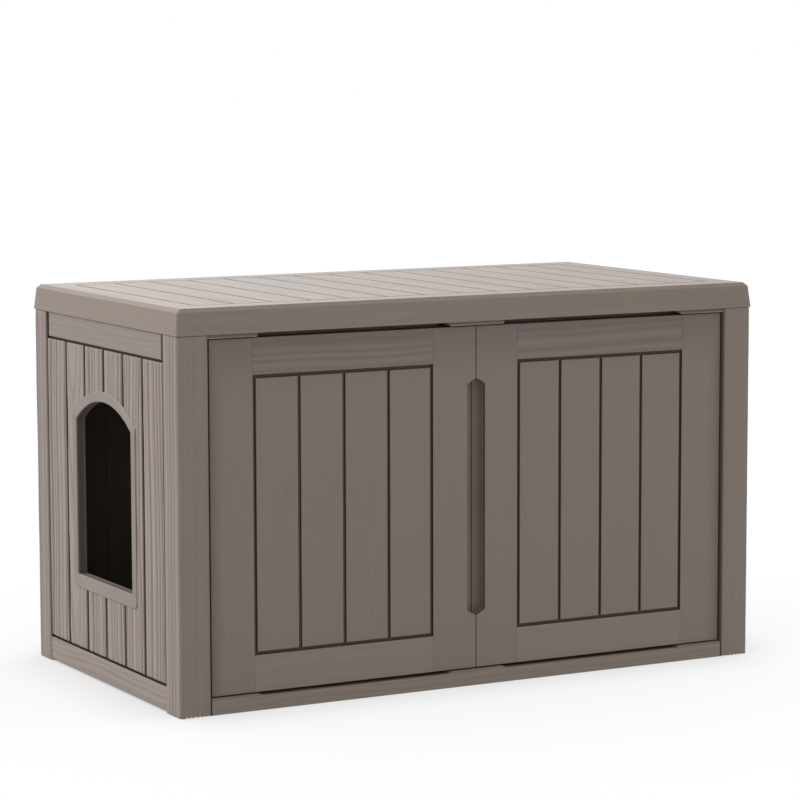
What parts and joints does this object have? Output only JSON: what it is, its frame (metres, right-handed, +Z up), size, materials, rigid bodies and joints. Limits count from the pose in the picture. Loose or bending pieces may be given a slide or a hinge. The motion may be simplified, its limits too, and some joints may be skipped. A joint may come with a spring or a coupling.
{
  "type": "litter box enclosure",
  "caption": "Cabinet that hides a cat litter tray, in wood-grained resin: planked walls, arched side doorway, double front doors with a finger pull and a lift-up planked lid.",
  "frame": {"origin": "on the floor, under the middle of the cabinet", "axes": "+X to the right seen from the front, along the length; +Y to the back; +Z up"},
  "size_m": [0.914, 0.502, 0.547],
  "materials": {
    "resin": "moulded wood grain, satin matte, warm taupe",
    "floor_resin": "smooth moulded, matte",
    "bush_plastic": "moulded nylon, black",
    "catch_plastic": "moulded, black",
    "magnet": "bare ferrite, dark grey",
    "steel": "zinc plated"
  },
  "bodies": {
    "carcass": {"post_front_left": "resin", "post_front_right": "resin", "post_rear_left": "resin", "post_rear_right": "resin", "side_panel_left": "resin", "side_panel_right": "resin", "back_panel": "resin", "base_rail_left": "resin", "base_rail_right": "resin", "base_rail_back": "resin", "top_rail_left": "resin", "top_rail_right": "resin", "top_rail_back": "resin", "sill_rail": "resin", "header_rail": "resin", "floor_panel": "floor_resin", "floor_screws": "steel", "entry_frame": "resin", "entry_retainer": "resin", "upper_bush_left": "bush_plastic", "upper_bush_right": "bush_plastic", "lower_bush_left": "bush_plastic", "lower_bush_right": "bush_plastic", "catch_body": "catch_plastic", "catch_magnets": "magnet", "catch_screws": "steel", "lid_hinge_pins": "steel"},
    "door_left": {"door_left": "resin", "upper_pivot_pin_left": "steel", "lower_pivot_pin_left": "steel", "strike_plate_left": "steel", "strike_screw_left": "steel"},
    "door_right": {"door_right": "resin", "upper_pivot_pin_right": "steel", "lower_pivot_pin_right": "steel", "strike_plate_right": "steel", "strike_screw_right": "steel"},
    "lid": {"lid": "resin"}
  },
  "joints": [
    {"name": "left_door_hinge", "type": "hinge", "parent": "carcass", "child": "door_left", "pos_m": [-0.3895, -0.2332, 0], "axis": [0, 0, -1], "range_deg": [0, 110]},
    {"name": "right_door_hinge", "type": "hinge", "parent": "carcass", "child": "door_right", "pos_m": [0.3895, -0.2332, 0], "axis": [0, 0, 1], "range_deg": [0, 110]},
    {"name": "lid_hinge", "type": "hinge", "parent": "carcass", "child": "lid", "pos_m": [0, 0.2475, 0.511], "axis": [-1, 0, 0], "range_deg": [0, 100]}
  ]
}
